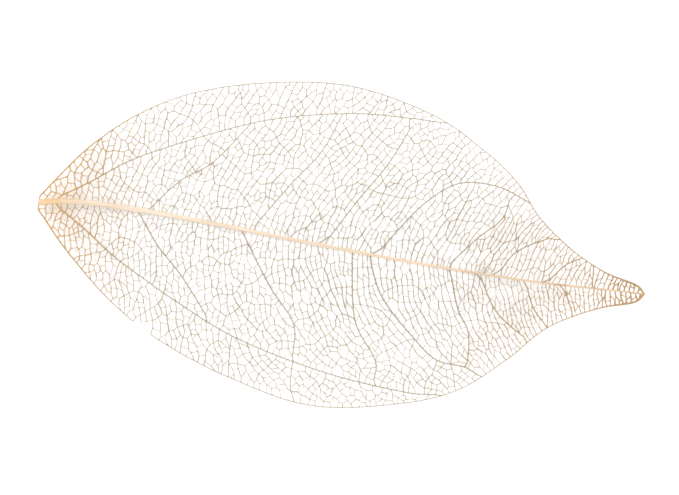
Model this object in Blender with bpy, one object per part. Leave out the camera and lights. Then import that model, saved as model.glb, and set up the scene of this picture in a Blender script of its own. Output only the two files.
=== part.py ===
"""Skeleton leaf: the open net of veins that stays when the soft tissue of a leaf has gone.

The leaf lies on a surface with its underside down. +X runs from its base to its tip, +Y to
its left and +Z up. The origin is in the middle of the leaf's box, on the surface. Sizes here
are in millimetres, and the mesh is made in metres. A place on the leaf, as seen from above,
is a complex number: the real part is the way along the leaf from its base, and the imaginary
part is the way across it, so a product with 1j turns a direction a quarter to the left.

The net grows as a leaf's does. The margin, the midrib and the side veins are drawn first.
Cross veins then halve each mesh of the net across its length, until none is too large.
"""

import cmath
import math
import random

import bpy
from mathutils import Vector
from mathutils.geometry import delaunay_2d_cdt

MM = 0.001
NODE_NAME = "leaf"

# Driving sizes, in millimetres and square millimetres
LEAF_LENGTH = 90.0
BLADE_THICKNESS = 0.7
MESH_AREA = 10.4
MESH_AREA_AT_TIP = 7.4
CROSS_VEIN_AREA = 26.0
MARGIN_STEP = 2.1
VEIN_STEP = 2.4

# What is too small to be cut: an opening, its side, and the turn between two of its sides
SMALLEST_HOLE = 0.7
SHORTEST_SIDE = 0.34
FLATTEST_TURN = 0.02
FLATTEST_CORNER = math.radians(11)

# The kinds of vein, half the width of each, and how far a crest stands above the blade
MARGIN, MIDRIB, SIDE_VEIN, CROSS_VEIN, FINE_VEIN = range(5)
HALF_WIDTH = {MARGIN: 0.62, SIDE_VEIN: 0.42, CROSS_VEIN: 0.33, FINE_VEIN: 0.29}
MIDRIB_HALF_WIDTH = (0.95, 0.42)
SIDE_VEIN_CREST = 0.45
MIDRIB_CREST = (1.0, 0.4)

# Both margins, from the cut base to the tip
LOWER_MARGIN = ((0, -0.6), (2.4, -3.4), (6.2, -7.3), (12.7, -12.7), (20.6, -17.3), (31.5, -21.2),
                (43.8, -23.5), (56.5, -21.5), (65.2, -18.3), (71.9, -12.7), (77.1, -7.1),
                (83.6, -3.3), (88.7, -1.5), (LEAF_LENGTH, 0))
UPPER_MARGIN = ((0, 1.3), (2.6, 5.0), (6.4, 9.8), (12.7, 15.4), (20.6, 19.8), (31.5, 22.8),
                (43.8, 23.9), (55.8, 21.6), (63.7, 17.7), (69.5, 13.6), (73.6, 8.9), (78.8, 5.0),
                (84.0, 2.4), (88.6, 1.2), (LEAF_LENGTH, 0))
MIDRIB_LINE = ((0, 0.35), (5.0, 1.2), (13.4, 1.4), (26.0, 1.0), (37.2, 0.4), (57.3, -0.4),
               (72.6, -0.6), (84.4, -0.2), (LEAF_LENGTH, 0))

# Side veins, each from where it leaves the midrib or another vein to where it ends
SIDE_VEINS = (
    ((1.6, 0.8), (7.1, -2.5), (13.2, -6.6), (24.9, -12.5), (33.5, -15.8), (45.7, -18.4),
     (57.5, -19.5), (62.8, -19.2)),
    ((1.6, 0.8), (7.0, 4.4), (13.4, 9.0), (24.9, 14.6), (33.5, 17.8), (44.0, 20.0),
     (52.5, 20.6), (58.0, 20.6)),
    ((14.5, 1.4), (18.2, -3.4), (22.6, -7.6), (27.6, -13.5)),
    ((30.1, 0.8), (35.6, -7.0), (39.9, -12.0), (40.5, -17.3)),
    ((46.9, 0.0), (48.8, -10.0), (52.7, -15.6), (52.7, -19.2)),
    ((49.4, -0.1), (52.3, -6.1), (58.0, -11.6), (61.7, -14.2), (65.9, -14.6), (68.6, -15.8)),
    ((61.7, -0.5), (63.7, -6.2), (65.8, -9.6), (66.3, -14.6)),
    ((66.1, -0.6), (69.5, -5.9), (75.0, -9.6)),
    ((72.9, -0.6), (74.7, -4.5), (77.2, -7.0)),
    ((78.4, -0.5), (80.6, -4.8)),
    ((31.0, -15.0), (31.4, -21.2)),
    ((40.5, -17.3), (40.9, -23.2)),
    ((16.0, 1.4), (20.0, 6.4), (24.6, 10.0), (29.2, 16.2)),
    ((31.5, 0.7), (36.6, 8.6), (40.4, 14.0), (42.6, 19.8)),
    ((42.6, 0.2), (46.6, 7.4), (50.4, 13.6), (53.4, 20.6)),
    ((50.6, -0.1), (53.2, 4.0), (56.8, 8.8), (61.2, 12.2), (66.8, 12.5), (72.1, 10.7)),
    ((61.0, -0.5), (65.0, 4.5), (68.2, 8.0), (68.9, 12.2)),
    ((68.8, -0.6), (71.0, 3.4), (76.4, 6.7)),
    ((76.0, -0.6), (78.2, 2.4), (80.6, 4.0)),
    ((33.5, 17.8), (35.2, 23.3)),
    ((47.0, 20.3), (48.2, 23.6)),
)

# The net's draws: how far and how steeply a cross vein strays from a mesh's middle
SEED = 28
STRAY_ALONG = 0.16
STRAY_ANGLE = math.radians(13)
STRAY_AREA = (0.75, 1.3)
JUNCTION_GAP = 0.22
BEND = 0.05
LEAN_TO_TIP = math.radians(58)
STRETCH = (0.02, 0.13)
SETTLING_ROUNDS = 3
VEIN_PULL = {CROSS_VEIN: 2.5, FINE_VEIN: 1}

# The blade's form: a flat middle that it rests on, and edges, base and tip that lift
FLAT_MIDDLE = (0.36, 0.58)
BASE_LIFT = 1.4
TIP_LIFT = 5.2
LEFT_LIFT = 3.0
RIGHT_LIFT = 2.3
LIFT_WIDTH = 23.0
SUNK_MIDDLE = 0.32
WAVE_HEIGHT = 0.55
WAVE_LENGTH = 37.0
TIP_TWIST = 0.11

# The leaf's finish, from the photo
LEAF_COLOUR = (0.78, 0.55, 0.33, 1.0)
LEAF_ROUGHNESS = 0.75


def dot(a, b):
    return (a.conjugate() * b).real


def cross(a, b):
    return (a.conjugate() * b).imag


def ramp(start, end, value):
    """0 before start, 1 after end, and smooth between them."""
    t = min(1.0, max(0.0, (value - start) / (end - start)))
    return t * t * (3 - 2 * t)


def blend(ends, t):
    return ends[0] + (ends[1] - ends[0]) * t


def neighbours_of(items):
    """Each item of a closed ring with the next one."""
    return list(zip(items, items[1:] + items[:1]))


def smooth_curve(corners, step):
    """Points about a step apart, on a smooth curve through the corners."""
    path = [complex(*corner) for corner in corners]
    path = [2 * path[0] - path[1], *path, 2 * path[-1] - path[-2]]
    curve = []
    for before, start, end, after in zip(path, path[1:], path[2:], path[3:]):
        count = max(1, round(abs(end - start) / step))
        for i in range(count):
            t = i / count
            curve.append(0.5 * (2 * start + (end - before) * t
                                + (2 * before - 5 * start + 4 * end - after) * t ** 2
                                + (3 * start - before - 3 * end + after) * t ** 3))
    return curve + [path[-2]]


def area_of(points):
    return sum(cross(a, b) for a, b in neighbours_of(points)) / 2


def contains(points, place):
    inside = False
    for a, b in neighbours_of(points):
        if (a.imag > place.imag) != (b.imag > place.imag):
            t = (place.imag - a.imag) / (b.imag - a.imag)
            if place.real < a.real + t * (b.real - a.real):
                inside = not inside
    return inside


def middle_and_spread(points):
    """A polygon's centroid, and its second moment as a complex number at twice its angle."""
    area = area_of(points)
    middle = sum(cross(a, b) * (a + b) for a, b in neighbours_of(points)) / (6 * area)
    arms = [p - middle for p in points]
    spread = sum(cross(a, b) * (a * a + a * b + b * b) for a, b in neighbours_of(arms)) / 12
    return middle, spread


class Net:
    """Nodes, and the rings of nodes round the meshes between the veins, counterclockwise."""

    def __init__(self, outline):
        self.nodes = []
        self.veins_at = []
        self.kind = {}
        self.left_of = {}
        self.rings = [[self.add_node(place) for place in outline]]
        for a, b in neighbours_of(self.rings[0]):
            self.add_vein(a, b, MARGIN)
        self.claim_edges(0)

    def add_node(self, place):
        self.nodes.append(place)
        self.veins_at.append(set())
        return len(self.nodes) - 1

    def add_vein(self, a, b, kind):
        self.kind[min(a, b), max(a, b)] = kind
        self.veins_at[a].add(b)
        self.veins_at[b].add(a)

    def kind_of(self, a, b):
        return self.kind[min(a, b), max(a, b)]

    def claim_edges(self, ring):
        for edge in neighbours_of(self.rings[ring]):
            self.left_of[edge] = ring

    def places(self, ring):
        return [self.nodes[node] for node in self.rings[ring]]

    def cut_vein(self, a, b, place):
        """Puts a new node on the vein between two nodes."""
        kind = self.kind.pop((min(a, b), max(a, b)))
        self.veins_at[a].remove(b)
        self.veins_at[b].remove(a)
        new = self.add_node(place)
        self.add_vein(a, new, kind)
        self.add_vein(new, b, kind)
        for start, end in ((a, b), (b, a)):
            ring = self.left_of.pop((start, end), None)
            if ring is not None:
                self.rings[ring].insert(self.rings[ring].index(start) + 1, new)
                self.left_of[start, new] = self.left_of[new, end] = ring
        return new

    def divide(self, ring, start, end, path, kind):
        """Draws a vein across a mesh, between two of its nodes and through a path of places."""
        inner = [self.add_node(place) for place in path]
        line = [start, *inner, end]
        for a, b in zip(line, line[1:]):
            self.add_vein(a, b, kind)
        nodes = self.rings[ring]
        first = nodes.index(start)
        nodes = nodes[first:] + nodes[:first]
        last = nodes.index(end)
        self.rings[ring] = nodes[:last + 1] + inner[::-1]
        self.rings.append(nodes[last:] + [start] + inner)
        self.claim_edges(ring)
        self.claim_edges(len(self.rings) - 1)

    def nearest_node(self, ring, place, reach):
        """The mesh's node nearest a place, or a new one on its side where none is in reach."""
        node = min(self.rings[ring], key=lambda n: abs(self.nodes[n] - place))
        if abs(self.nodes[node] - place) < reach:
            return node
        best = None
        for a, b in neighbours_of(self.rings[ring]):
            start, side = self.nodes[a], self.nodes[b] - self.nodes[a]
            t = min(0.9, max(0.1, dot(side, place - start) / abs(side) ** 2))
            gap = abs(start + t * side - place)
            if best is None or gap < best[0]:
                best = gap, a, b, start + t * side
        return self.cut_vein(*best[1:])

    def draw_vein(self, line, kind):
        """Draws a main vein across the mesh that its middle lies in."""
        middle = line[len(line) // 2] if len(line) > 2 else (line[0] + line[1]) / 2
        ring = next(r for r in range(len(self.rings)) if contains(self.places(r), middle))
        start = self.nearest_node(ring, line[0], 0.4 * VEIN_STEP)
        end = self.nearest_node(ring, line[-1], 0.4 * VEIN_STEP)
        self.divide(ring, start, end, line[1:-1], kind)

    def hit(self, ring, place, heading):
        """Where a ray from inside a mesh first meets its side: the side's nodes and the way."""
        best = None
        for a, b in neighbours_of(self.rings[ring]):
            start, side = self.nodes[a] - place, self.nodes[b] - self.nodes[a]
            turn = cross(heading, side)
            if turn:
                way, t = cross(start, side) / turn, cross(start, heading) / turn
                if way > 0 and 0 <= t <= 1 and (best is None or way < best[0]):
                    best = way, a, b, t
        return best

    def landing(self, a, b, t, gap):
        """The node where a vein meets a side: a bend close by, or a new one off the corners."""
        length = abs(self.nodes[b] - self.nodes[a])
        for node, way in ((a, t * length), (b, (1 - t) * length)):
            if way < gap and len(self.veins_at[node]) == 2:
                return node
        if length < 2 * gap:
            return a if t < 0.5 else b
        t = min(1 - gap / length, max(gap / length, t))
        return self.cut_vein(a, b, blend((self.nodes[a], self.nodes[b]), t))

    def halve(self, ring, draw, kind):
        """Draws a cross vein over the middle of a mesh. False where there is no room for it."""
        points = self.places(ring)
        size = math.sqrt(area_of(points))
        middle, spread = middle_and_spread(points)
        lean = LEAN_TO_TIP if middle.imag > 0 else -LEAN_TO_TIP
        stretch = blend(STRETCH, ramp(0.45, 0.85, middle.real / LEAF_LENGTH))
        spread -= stretch * size ** 4 * cmath.rect(1, 2 * lean)
        along = cmath.rect(1, cmath.phase(spread) / 2)
        middle += along * size * draw.uniform(-STRAY_ALONG, STRAY_ALONG)
        heading = along * 1j * cmath.rect(1, draw.uniform(-STRAY_ANGLE, STRAY_ANGLE))
        bend = draw.uniform(-BEND, BEND)
        if not contains(points, middle):
            return False
        hits = [self.hit(ring, middle, way) for way in (heading, -heading)]
        if None in hits or hits[0][1:3] == hits[1][1:3]:
            return False
        start = self.landing(*hits[0][1:], JUNCTION_GAP * size)
        end = self.landing(*hits[1][1:], JUNCTION_GAP * size)
        if start == end or end in self.veins_at[start]:
            return False
        span = self.nodes[end] - self.nodes[start]
        self.divide(ring, start, end, [self.nodes[start] + span * complex(0.5, bend)], kind)
        return True

    def fill(self, draw):
        """Halves the meshes, and what that makes of them, until each is small enough."""
        waiting = list(range(len(self.rings)))
        while waiting:
            ring = waiting.pop(0)
            points = self.places(ring)
            way = sum(points).real / len(points) / LEAF_LENGTH
            largest = blend((MESH_AREA, MESH_AREA_AT_TIP), ramp(0.6, 0.95, way))
            area = area_of(points)
            if area < largest * draw.uniform(*STRAY_AREA):
                continue
            kind = CROSS_VEIN if area > CROSS_VEIN_AREA else FINE_VEIN
            if self.halve(ring, draw, kind):
                waiting += [ring, len(self.rings) - 1]

    def join(self, ring):
        """Takes out the thin vein that a mesh shares longest with another, which absorbs it."""
        shared = {}
        for a, b in neighbours_of(self.rings[ring]):
            other = self.left_of.get((b, a))
            if other is not None and self.kind_of(a, b) > SIDE_VEIN:
                length = abs(self.nodes[b] - self.nodes[a])
                shared[other] = shared.get(other, 0) + length
        if not shared:
            return
        pair = ring, max(shared, key=shared.get)
        after = {a: b for member in pair for a, b in neighbours_of(self.rings[member])
                 if self.left_of.get((b, a)) not in pair}
        walk = [next(iter(after))]
        while after[walk[-1]] != walk[0]:
            walk.append(after[walk[-1]])
        if len(walk) == len(after):
            self.rings[pair[0]], self.rings[pair[1]] = [], walk
            self.claim_edges(pair[1])

    def settle(self):
        """Lets thin veins pull their junctions towards even angles. Main veins stay."""
        for _ in range(SETTLING_ROUNDS):
            moved = list(self.nodes)
            for node, others in enumerate(self.veins_at):
                kinds = [self.kind_of(node, other) for other in others]
                if min(kinds) <= SIDE_VEIN:
                    continue
                pulls = [VEIN_PULL[kind] for kind in kinds]
                pulled = sum(pull * self.nodes[other] for pull, other in zip(pulls, others))
                moved[node] = blend((self.nodes[node], pulled / sum(pulls)), 0.5)
            self.nodes = moved


def grow_net():
    lower = smooth_curve(LOWER_MARGIN, MARGIN_STEP)
    upper = smooth_curve(UPPER_MARGIN, MARGIN_STEP)
    midrib = smooth_curve(MIDRIB_LINE, VEIN_STEP)
    outline = lower + upper[-2::-1] + midrib[:1]
    net = Net(outline)
    base, tip = len(outline) - 1, len(lower) - 1
    net.divide(0, base, tip, midrib[1:-1], MIDRIB)
    for vein in SIDE_VEINS:
        net.draw_vein(smooth_curve(vein, VEIN_STEP), SIDE_VEIN)
    net.fill(random.Random(SEED))
    net.settle()
    return net, outline


def half_width(kind, place):
    if kind == MIDRIB:
        return blend(MIDRIB_HALF_WIDTH, place.real / LEAF_LENGTH)
    return HALF_WIDTH[kind]


def crest_height(kinds, place):
    """How far a node stands above the blade: only the midrib and the side veins do."""
    if MARGIN in kinds:
        return 0.0
    if MIDRIB in kinds:
        return blend(MIDRIB_CREST, place.real / LEAF_LENGTH)
    return SIDE_VEIN_CREST


def inset(points, widths):
    """The hole in a mesh whose sides are each half a vein wide, or None where they fill it."""
    sides = []
    for (a, b), width in zip(neighbours_of(points), widths):
        ahead = (b - a) / abs(b - a)
        sides.append((a + 1j * ahead * width, ahead))
    while len(sides) > 2:
        corners = []
        for (start, ahead), (other, across) in zip(sides[-1:] + sides[:-1], sides):
            turn = cross(ahead, across)
            reach = cross(other - start, across) / turn if abs(turn) > FLATTEST_TURN else None
            corners.append(other if reach is None else start + ahead * reach)
        lengths = [dot(ahead, b - a) for (a, b), (_, ahead) in zip(neighbours_of(corners), sides)]
        shortest = min(range(len(sides)), key=lengths.__getitem__)
        if lengths[shortest] > SHORTEST_SIDE:
            return corners
        sides.pop(shortest)
    return None


def without_flat_corners(net, ring):
    """A ring's nodes where its outline turns, or where the kind of vein changes."""
    nodes = net.rings[ring]
    kept = []
    for before, node, after in zip(nodes[-1:] + nodes[:-1], nodes, nodes[1:] + nodes[:1]):
        arriving, leaving = net.nodes[node] - net.nodes[before], net.nodes[after] - net.nodes[node]
        flat = abs(cmath.phase(leaving / arriving)) < FLATTEST_CORNER
        if not flat or net.kind_of(before, node) != net.kind_of(node, after):
            kept.append((node, net.kind_of(node, after)))
    return kept


def hole_in(net, ring):
    """The opening that the veins round a mesh leave in it, or None where it is too small."""
    corners = without_flat_corners(net, ring)
    places = [net.nodes[node] for node, _ in corners]
    widths = [half_width(kind, place) for (_, kind), place in zip(corners, places)]
    hole = inset(places, widths)
    if hole and area_of(hole) > SMALLEST_HOLE and all(contains(places, p) for p in hole):
        return hole
    return None


def find_holes(net):
    """The opening in each mesh. One too small to be open joins its neighbour first."""
    for ring in range(len(net.rings)):
        if not hole_in(net, ring):
            net.join(ring)
    holes = [hole_in(net, ring) for ring in range(len(net.rings)) if net.rings[ring]]
    return [hole for hole in holes if hole]


def blade_height(place):
    """The height of the blade's underside above the surface that it lies on."""
    way = place.real / LEAF_LENGTH
    side = place.imag / LIFT_WIDTH
    base = max(0.0, 1 - way / FLAT_MIDDLE[0])
    tip = max(0.0, (way - FLAT_MIDDLE[1]) / (1 - FLAT_MIDDLE[1]))
    lift = LEFT_LIFT if side > 0 else RIGHT_LIFT
    wave = WAVE_HEIGHT * math.sin(math.tau * place.real / WAVE_LENGTH + math.copysign(1.1, side))
    height = (BASE_LIFT * base ** 2 + TIP_LIFT * tip ** 2 + (lift + wave) * side ** 2
              + TIP_TWIST * place.imag * tip - SUNK_MIDDLE)
    return max(0.0, height)


def triangulate(net, outline, holes):
    """The net seen from above as triangles: their places, crest heights and corner numbers."""
    places, owners, edges = [], [], []
    for owner, loop in enumerate([outline] + holes):
        first = len(places)
        places += loop
        owners += [owner] * len(loop)
        edges += neighbours_of(list(range(first, len(places))))
    crests = [0.0] * len(places)
    number = {}
    for node, others in enumerate(net.veins_at):
        kinds = {net.kind_of(node, other) for other in others}
        if kinds & {MIDRIB, SIDE_VEIN} and MARGIN not in kinds:
            number[node] = len(places)
            places.append(net.nodes[node])
            crests.append(crest_height(kinds, net.nodes[node]))
            owners.append(None)
    edges += [(number[a], number[b]) for (a, b), kind in net.kind.items()
              if kind in (MIDRIB, SIDE_VEIN) and a in number and b in number]

    flat = [Vector((place.real, place.imag)) for place in places]
    corners, _, faces, sources, _, _ = delaunay_2d_cdt(flat, edges, [], 0, 1e-5)
    if len(corners) != len(places):
        raise ValueError("holes or crests of the net cross each other")
    triangles = []
    for face in faces:
        a, b, c = (sources[corner][0] for corner in face)
        if cross(places[b] - places[a], places[c] - places[a]) < 0:
            b, c = c, b
        owner = owners[a]
        if owner is not None and owner == owners[b] == owners[c]:
            middle = (places[a] + places[b] + places[c]) / 3
            if contains(([outline] + holes)[owner], middle) == (owner > 0):
                continue
        triangles.append((a, b, c))
    return places, crests, triangles


def make_solid(places, crests, triangles):
    """The net as one closed body: alike triangles above and below, and walls round its edges."""
    centre = complex((min(p.real for p in places) + max(p.real for p in places)) / 2,
                     (min(p.imag for p in places) + max(p.imag for p in places)) / 2)
    tops, bottoms = [], []
    for place, crest in zip(places, crests):
        height = blade_height(place)
        x, y = (place - centre).real * MM, (place - centre).imag * MM
        tops.append((x, y, (height + BLADE_THICKNESS + crest) * MM))
        bottoms.append((x, y, height * MM))
    under = len(tops)
    edges = {edge for triangle in triangles for edge in neighbours_of(triangle)}
    faces = list(triangles)
    faces += [(c + under, b + under, a + under) for a, b, c in triangles]
    faces += [(b, a, a + under, b + under) for a, b in sorted(edges) if (b, a) not in edges]
    mesh = bpy.data.meshes.new(NODE_NAME)
    mesh.from_pydata(tops + bottoms, [], faces)
    mesh.validate()
    return mesh


def leaf_material():
    material = bpy.data.materials.new("dried_vein")
    material.use_nodes = True
    finish = material.node_tree.nodes["Principled BSDF"]
    finish.inputs["Base Color"].default_value = LEAF_COLOUR
    finish.inputs["Roughness"].default_value = LEAF_ROUGHNESS
    finish.inputs["Metallic"].default_value = 0.0
    return material


def main():
    for item in list(bpy.data.objects):
        bpy.data.objects.remove(item, do_unlink=True)
    net, outline = grow_net()
    mesh = make_solid(*triangulate(net, outline, find_holes(net)))
    mesh.materials.append(leaf_material())
    leaf = bpy.data.objects.new(NODE_NAME, mesh)
    bpy.context.scene.collection.objects.link(leaf)


main()
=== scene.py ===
"""Skeleton leaf, dressed: the fine net of veins that stays when a leaf's soft tissue has gone.

The leaf lies as its solid does, +X from the cut base to the tip. Places on it are in
millimetres from its base and are complex numbers: the real part is the way along the leaf,
the imaginary part the way across it. The net starts as the solid's own net, from the same
outline, veins and draws. It grows on from there, down to the finest meshes, and evens out. Every
thread is round, with a web in each corner where threads meet, and short veinlets end inside the
meshes. The blade is four closed pieces, which meet inside the midrib and along a row of threads.
"""

import cmath
import math
import random

import bpy
import numpy as np
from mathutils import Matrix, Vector


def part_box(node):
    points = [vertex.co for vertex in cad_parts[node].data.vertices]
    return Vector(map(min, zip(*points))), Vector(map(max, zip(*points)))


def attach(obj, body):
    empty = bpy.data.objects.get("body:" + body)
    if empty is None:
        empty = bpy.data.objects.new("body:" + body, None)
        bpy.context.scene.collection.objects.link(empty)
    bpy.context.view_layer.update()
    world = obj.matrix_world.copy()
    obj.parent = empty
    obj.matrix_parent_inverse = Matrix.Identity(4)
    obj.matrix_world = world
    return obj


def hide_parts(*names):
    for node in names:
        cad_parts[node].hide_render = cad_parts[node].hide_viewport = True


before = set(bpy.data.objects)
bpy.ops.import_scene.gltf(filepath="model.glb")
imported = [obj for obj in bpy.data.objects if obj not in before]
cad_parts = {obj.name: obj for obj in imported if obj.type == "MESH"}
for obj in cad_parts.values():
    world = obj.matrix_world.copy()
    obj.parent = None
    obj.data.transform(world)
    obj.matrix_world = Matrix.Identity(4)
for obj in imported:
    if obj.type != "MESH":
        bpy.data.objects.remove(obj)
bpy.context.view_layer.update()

MM = 0.001
TINY = 1e-6

# The leaf's driving sizes, in millimetres, as its solid has them
LEAF_LENGTH = 90.0
MARGIN_STEP = 2.1
VEIN_STEP = 2.4
LOWER_MARGIN = ((0, -0.6), (2.4, -3.4), (6.2, -7.3), (12.7, -12.7), (20.6, -17.3), (31.5, -21.2),
                (43.8, -23.5), (56.5, -21.5), (65.2, -18.3), (71.9, -12.7), (77.1, -7.1),
                (83.6, -3.3), (88.7, -1.5), (LEAF_LENGTH, 0))
UPPER_MARGIN = ((0, 1.3), (2.6, 5.0), (6.4, 9.8), (12.7, 15.4), (20.6, 19.8), (31.5, 22.8),
                (43.8, 23.9), (55.8, 21.6), (63.7, 17.7), (69.5, 13.6), (73.6, 8.9), (78.8, 5.0),
                (84.0, 2.4), (88.6, 1.2), (LEAF_LENGTH, 0))
MIDRIB_LINE = ((0, 0.35), (5.0, 1.2), (13.4, 1.4), (26.0, 1.0), (37.2, 0.4), (57.3, -0.4),
               (72.6, -0.6), (84.4, -0.2), (LEAF_LENGTH, 0))
SIDE_VEINS = (
    ((1.6, 0.8), (7.1, -2.5), (13.2, -6.6), (24.9, -12.5), (33.5, -15.8), (45.7, -18.4),
     (57.5, -19.5), (62.8, -19.2)),
    ((1.6, 0.8), (7.0, 4.4), (13.4, 9.0), (24.9, 14.6), (33.5, 17.8), (44.0, 20.0),
     (52.5, 20.6), (58.0, 20.6)),
    ((14.5, 1.4), (18.2, -3.4), (22.6, -7.6), (27.6, -13.5)),
    ((30.1, 0.8), (35.6, -7.0), (39.9, -12.0), (40.5, -17.3)),
    ((46.9, 0.0), (48.8, -10.0), (52.7, -15.6), (52.7, -19.2)),
    ((49.4, -0.1), (52.3, -6.1), (58.0, -11.6), (61.7, -14.2), (65.9, -14.6), (68.6, -15.8)),
    ((61.7, -0.5), (63.7, -6.2), (65.8, -9.6), (66.3, -14.6)),
    ((66.1, -0.6), (69.5, -5.9), (75.0, -9.6)),
    ((72.9, -0.6), (74.7, -4.5), (77.2, -7.0)),
    ((78.4, -0.5), (80.6, -4.8)),
    ((31.0, -15.0), (31.4, -21.2)),
    ((40.5, -17.3), (40.9, -23.2)),
    ((16.0, 1.4), (20.0, 6.4), (24.6, 10.0), (29.2, 16.2)),
    ((31.5, 0.7), (36.6, 8.6), (40.4, 14.0), (42.6, 19.8)),
    ((42.6, 0.2), (46.6, 7.4), (50.4, 13.6), (53.4, 20.6)),
    ((50.6, -0.1), (53.2, 4.0), (56.8, 8.8), (61.2, 12.2), (66.8, 12.5), (72.1, 10.7)),
    ((61.0, -0.5), (65.0, 4.5), (68.2, 8.0), (68.9, 12.2)),
    ((68.8, -0.6), (71.0, 3.4), (76.4, 6.7)),
    ((76.0, -0.6), (78.2, 2.4), (80.6, 4.0)),
    ((33.5, 17.8), (35.2, 23.3)),
    ((47.0, 20.3), (48.2, 23.6)),
)

# The solid's net of veins, which the fine net is drawn within. A reach, here and below, is where
# along the leaf the first of two values goes over into the second, as shares of its length.
MARGIN, MIDRIB, SIDE_VEIN, CROSS_VEIN, NET_VEIN, THREAD, FINE_THREAD = range(7)
SEED = 28
MESH_AREA = (10.4, 7.4)
MESH_AREA_REACH = (0.6, 0.95)
MESH_STRETCH = (0.02, 0.13)
STRETCH_REACH = (0.45, 0.85)
MESH_LEAN = math.radians(58)
CROSS_VEIN_AREA = 26.0
STRAY_ALONG = 0.16
STRAY_ANGLE = math.radians(13)
STRAY_AREA = (0.75, 1.3)
JUNCTION_GAP = 0.22
JOIN_REACH = 0.4 * VEIN_STEP
CLEAR_ENDS = 0.1
BEND = 0.05
SETTLING_ROUNDS = 3
SETTLING = 0.5
VEIN_PULL = {CROSS_VEIN: 2.5, NET_VEIN: 1}

# The fine net: threads a gap apart run with the grain, and rungs join them. The grain is steep
# by the midrib and leans over further out, as the side veins do.
THREAD_GAP = (1.04, 0.74)
THREAD_GAP_REACH = (0.6, 1)
OUTER_GAP = (1, 1.08)
GRAIN_WIDTH = 17.0
OUTER_SHARES = (0.3, 1)
RUNG_GAP = (1.10, 1.60)
UPPER_GRAIN = (math.radians(78), math.radians(1.8))
LOWER_GRAIN = (math.radians(88), math.radians(3.8))
STRAIGHTEST_GRAIN = math.radians(25)
TIP_GRAIN = math.radians(82)
TIP_GRAIN_REACH = (0.86, 0.96)
BASE_LEANING = 0.3
BASE_STRENGTH = 0.45
GRAIN_STRENGTH = (0.25, 1)
GRAIN_REACH = (0.25, 0.6)
GRAIN_SHARES = (0.25, 1.1)
END_STRENGTH = (1, 0.5)
END_STRENGTH_REACH = (0.93, 1)
LARGEST_MESH = 1.34
SMALLEST_MESH = 0.25
PARTED_MESH = 0.95
STRAY_SIZE = 0.06
STRAY_THREAD = (0.14, 0.06)
STRAY_GRAIN = (math.radians(10), math.radians(4))
FIRST_THREADS = (1.0, 1.5)
THREAD_TRIES = 5
GOING_ON = 0.4
GOING_ON_WAY = math.cos(math.radians(40))

# How the fine net evens out: its meshes press on their veins, and the veins pull
FINE_PULL = {MARGIN: 0.4, MIDRIB: 0.4, SIDE_VEIN: 0.4, CROSS_VEIN: 2.5, NET_VEIN: 1.2,
             THREAD: 1.2, FINE_THREAD: 0.3}
EVENING_ROUNDS = 90
EVENING_STEP = 0.06
LARGEST_STEP = 0.05
SLIDING = 0.4
PRESSURE = (3.0, 0.6)
MOST_PRESSURE = 1.5
CLOSEST_ENDS = 0.25
MOST_BEND = 0.12
CLEARANCE = 0.40
CROSSED_REACH = 0.1
SHOVE = 4.0
RAIL_TURN = math.cos(math.radians(0.5))

# Half the width of each kind of thread, near the midrib and at the margin, in millimetres
HALF_WIDTH = {MARGIN: (0.058, 0.054), SIDE_VEIN: (0.080, 0.062), CROSS_VEIN: (0.046, 0.048),
              NET_VEIN: (0.038, 0.045), THREAD: (0.036, 0.042), FINE_THREAD: (0.034, 0.039)}
PALE_GIRTH, DARK_GIRTH = 0.042, 0.078
TAPER_WIDTH = 22.0
FAINT_SIDE_VEINS = (0.88, 1)
FAINT_REACH = (0.4, 0.6)
UPPER_SIDE_VEINS = 0.92
GRAIN_THICKENING = 0.36
# How much thicker threads get near the tip, at its end and at the base, and the reach of each
THICKENINGS = ((0.10, 0.68, 0.95), (1.4, 0.9, 1.0), (0.9, 0.19, 0.0))
# How unevenly thick fine threads are, and how fast each wave goes on and sways, along and across
PATCHY = (0.10, (0.47, 0, 0, 0.31), (0, 0.53, 0.23, 0))
UNEVEN = (0.34, (4.3, 2.1, 0, 1.7), (-1.7, 3.9, 1.3, 0))

# How threads are drawn: points along them, bends, and the webs in the corners between them
RING_STEP = 0.33
SHORTEST_ROW = 0.25 * RING_STEP
SHORTEST_VEIN = 0.5 * RING_STEP
JUNCTION_CLEARANCE = 0.075
CURVE_STEP = 0.05
SNAP_REACH = (0.15, 0.6)
CUT_POINTS = 38
CORNER_SPAN = 6
MARGIN_GAP = 0.02
STRAIGHT_ON = math.cos(math.radians(48))
CORNER_TURN = math.radians(22)
WEB_WAYS = np.linspace(0, 0.92, 24)
WEB_SHARPNESS = 1.7
NEAREST_WEB = 0.01
HEART_ROUNDS = 40
HEART_DEPTH = (0.04, 0.06)
SMALLEST_HOLE = 0.03
FILLED_HEIGHT = 0.4
SHOULDER = 0.62
SHOULDER_HEIGHT = 0.74

# Veinlets: short free veins that end inside a mesh
VEINLET_SEED = 5
VEINLET_AREA = 0.85
VEINLET_NUMBER = (0.5, 1.4)
VEINLET_REACH = (0.7, 1.15)
VEINLET_TURN = math.radians(26)
VEINLET_BEND = 0.14
VEINLET_STRAY = 0.3
VEINLET_GIRTH = 0.58
VEINLET_TAPER = 0.3
THICKEST_VEINLET = 0.024
VEINLET_STEPS = np.array((0.0, 0.35, 0.7, 0.97))
FORKED_SHARE = 0.5
FORK_TURN = math.radians(55)
FORK_LENGTH = 0.9
FORK_GIRTH = 0.8

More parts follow.
